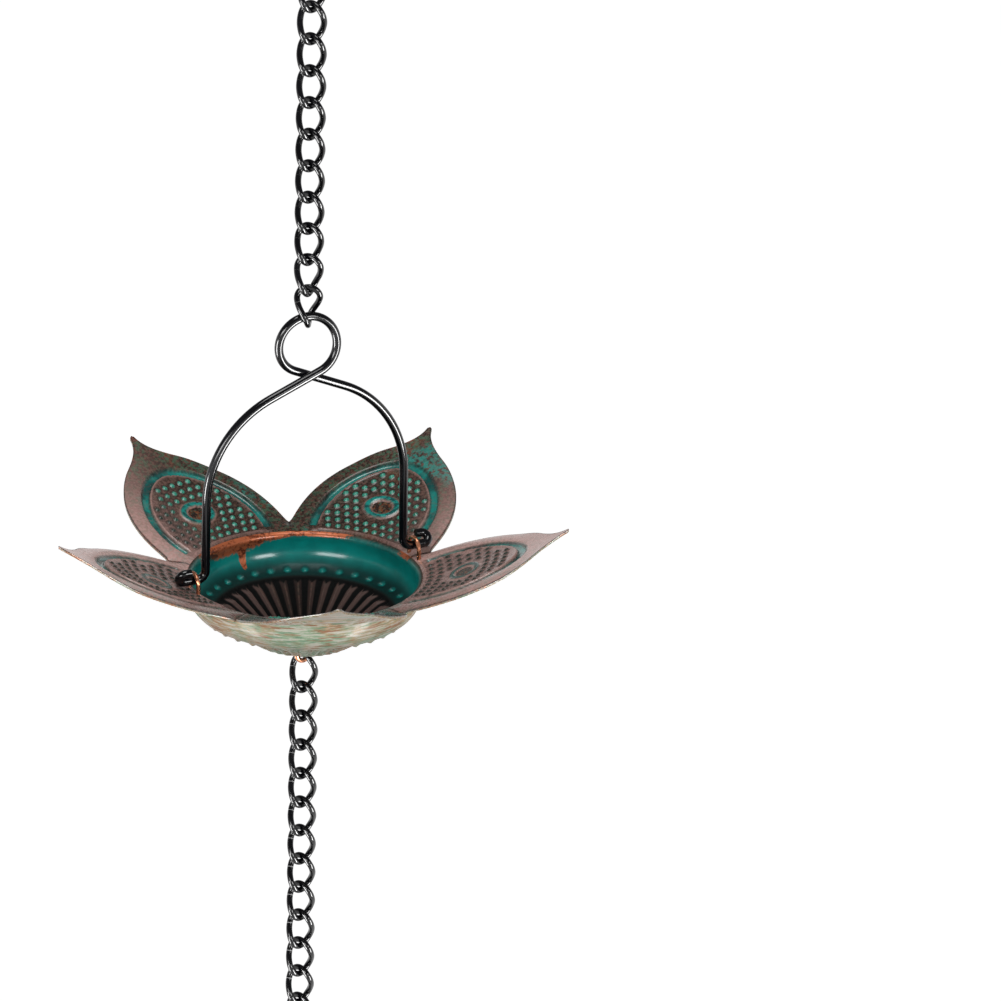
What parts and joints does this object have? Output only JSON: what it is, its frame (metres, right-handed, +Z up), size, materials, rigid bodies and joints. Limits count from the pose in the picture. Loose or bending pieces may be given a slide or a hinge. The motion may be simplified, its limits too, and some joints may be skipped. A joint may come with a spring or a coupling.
{
  "type": "rain chain",
  "caption": "Length of rain chain: twisted curb links carry a wire bail, and a five-petal flower cup that guides rainwater tilts in it, with more links below.",
  "frame": {"origin": "bearing point inside the top bend of the highest link, where the chain hangs", "axes": "+Z up along the chain, X along the axis that the cup tilts on, Y across it"},
  "size_m": [0.1367, 0.1436, 0.3244],
  "materials": {
    "patina": "aged green and brown over copper",
    "enamel": "gloss black",
    "copper": "bright copper wire"
  },
  "bodies": {
    "upper_link_01": {"upper_link_01": "enamel"},
    "upper_link_02": {"upper_link_02": "enamel"},
    "upper_link_03": {"upper_link_03": "enamel"},
    "upper_link_04": {"upper_link_04": "enamel"},
    "upper_link_05": {"upper_link_05": "enamel"},
    "upper_link_06": {"upper_link_06": "enamel"},
    "upper_link_07": {"upper_link_07": "enamel"},
    "upper_link_08": {"upper_link_08": "enamel"},
    "upper_link_09": {"upper_link_09": "enamel"},
    "upper_link_10": {"upper_link_10": "enamel"},
    "upper_link_11": {"upper_link_11": "enamel"},
    "bail": {"bail": "enamel"},
    "cup": {"flower_cup": "patina", "eyelet_left": "copper", "eyelet_right": "copper", "bottom_loop": "copper"},
    "lower_link_01": {"lower_link_01": "enamel"},
    "lower_link_02": {"lower_link_02": "enamel"},
    "lower_link_03": {"lower_link_03": "enamel"},
    "lower_link_04": {"lower_link_04": "enamel"},
    "lower_link_05": {"lower_link_05": "enamel"},
    "lower_link_06": {"lower_link_06": "enamel"},
    "lower_link_07": {"lower_link_07": "enamel"},
    "lower_link_08": {"lower_link_08": "enamel"},
    "lower_link_09": {"lower_link_09": "enamel"},
    "lower_link_10": {"lower_link_10": "enamel"},
    "lower_link_11": {"lower_link_11": "enamel"},
    "lower_link_12": {"lower_link_12": "enamel"},
    "lower_link_13": {"lower_link_13": "enamel"}
  },
  "joints": [
    {"name": "upper_link_02_swing", "type": "hinge", "parent": "upper_link_01", "child": "upper_link_02", "pos_m": [0, 0, -0.0101], "axis": [0.9298, 0.3681, 0], "range_deg": [-30, 30]},
    {"name": "upper_link_03_swing", "type": "hinge", "parent": "upper_link_02", "child": "upper_link_03", "pos_m": [0, 0, -0.0173], "axis": [0.3681, -0.9298, 0], "range_deg": [-30, 30]},
    {"name": "upper_link_04_swing", "type": "hinge", "parent": "upper_link_03", "child": "upper_link_04", "pos_m": [0, 0, -0.0283], "axis": [-0.9298, -0.3681, 0], "range_deg": [-30, 30]},
    {"name": "upper_link_05_swing", "type": "hinge", "parent": "upper_link_04", "child": "upper_link_05", "pos_m": [0, 0, -0.0355], "axis": [-0.3681, 0.9298, 0], "range_deg": [-30, 30]},
    {"name": "upper_link_06_swing", "type": "hinge", "parent": "upper_link_05", "child": "upper_link_06", "pos_m": [0, 0, -0.0465], "axis": [0.9298, 0.3681, 0], "range_deg": [-30, 30]},
    {"name": "upper_link_07_swing", "type": "hinge", "parent": "upper_link_06", "child": "upper_link_07", "pos_m": [0, 0, -0.0537], "axis": [0.3681, -0.9298, 0], "range_deg": [-30, 30]},
    {"name": "upper_link_08_swing", "type": "hinge", "parent": "upper_link_07", "child": "upper_link_08", "pos_m": [0, 0, -0.0647], "axis": [-0.9298, -0.3681, 0], "range_deg": [-30, 30]},
    {"name": "upper_link_09_swing", "type": "hinge", "parent": "upper_link_08", "child": "upper_link_09", "pos_m": [0, 0, -0.0719], "axis": [-0.4939, 0.8695, 0], "range_deg": [-30, 30]},
    {"name": "upper_link_10_swing", "type": "hinge", "parent": "upper_link_09", "child": "upper_link_10", "pos_m": [0, 0, -0.0829], "axis": [0.8695, 0.4939, 0], "range_deg": [-30, 30]},
    {"name": "upper_link_11_swing", "type": "hinge", "parent": "upper_link_10", "child": "upper_link_11", "pos_m": [0, 0, -0.0901], "axis": [0.8796, -0.4756, 0], "range_deg": [-30, 30]},
    {"name": "bail_swing", "type": "hinge", "parent": "upper_link_11", "child": "bail", "pos_m": [0, 0, -0.1011], "axis": [0, 1, 0], "range_deg": [-20, 20]},
    {"name": "cup_tilt", "type": "hinge", "parent": "bail", "child": "cup", "pos_m": [0, 0, -0.17295], "axis": [1, 0, 0], "range_deg": [-40, 40]},
    {"name": "lower_link_01_swing", "type": "hinge", "parent": "cup", "child": "lower_link_01", "pos_m": [0, 0, -0.2032], "axis": [0.9298, 0.3681, 0], "range_deg": [-30, 30]},
    {"name": "lower_link_02_swing", "type": "hinge", "parent": "lower_link_01", "child": "lower_link_02", "pos_m": [0, 0, -0.2106], "axis": [0.3681, -0.9298, 0], "range_deg": [-30, 30]},
    {"name": "lower_link_03_swing", "type": "hinge", "parent": "lower_link_02", "child": "lower_link_03", "pos_m": [0, 0, -0.2216], "axis": [-0.9298, -0.3681, 0], "range_deg": [-30, 30]},
    {"name": "lower_link_04_swing", "type": "hinge", "parent": "lower_link_03", "child": "lower_link_04", "pos_m": [0, 0, -0.2288], "axis": [-0.3681, 0.9298, 0], "range_deg": [-30, 30]},
    {"name": "lower_link_05_swing", "type": "hinge", "parent": "lower_link_04", "child": "lower_link_05", "pos_m": [0, 0, -0.2398], "axis": [0.9298, 0.3681, 0], "range_deg": [-30, 30]},
    {"name": "lower_link_06_swing", "type": "hinge", "parent": "lower_link_05", "child": "lower_link_06", "pos_m": [0, 0, -0.247], "axis": [0.3681, -0.9298, 0], "range_deg": [-30, 30]},
    {"name": "lower_link_07_swing", "type": "hinge", "parent": "lower_link_06", "child": "lower_link_07", "pos_m": [0, 0, -0.258], "axis": [-0.9298, -0.3681, 0], "range_deg": [-30, 30]},
    {"name": "lower_link_08_swing", "type": "hinge", "parent": "lower_link_07", "child": "lower_link_08", "pos_m": [0, 0, -0.2652], "axis": [-0.3681, 0.9298, 0], "range_deg": [-30, 30]},
    {"name": "lower_link_09_swing", "type": "hinge", "parent": "lower_link_08", "child": "lower_link_09", "pos_m": [0, 0, -0.2762], "axis": [0.9298, 0.3681, 0], "range_deg": [-30, 30]},
    {"name": "lower_link_10_swing", "type": "hinge", "parent": "lower_link_09", "child": "lower_link_10", "pos_m": [0, 0, -0.2834], "axis": [0.3681, -0.9298, 0], "range_deg": [-30, 30]},
    {"name": "lower_link_11_swing", "type": "hinge", "parent": "lower_link_10", "child": "lower_link_11", "pos_m": [0, 0, -0.2944], "axis": [-0.9298, -0.3681, 0], "range_deg": [-30, 30]},
    {"name": "lower_link_12_swing", "type": "hinge", "parent": "lower_link_11", "child": "lower_link_12", "pos_m": [0, 0, -0.3016], "axis": [-0.3681, 0.9298, 0], "range_deg": [-30, 30]},
    {"name": "lower_link_13_swing", "type": "hinge", "parent": "lower_link_12", "child": "lower_link_13", "pos_m": [0, 0, -0.3126], "axis": [0.9298, 0.3681, 0], "range_deg": [-30, 30]}
  ]
}
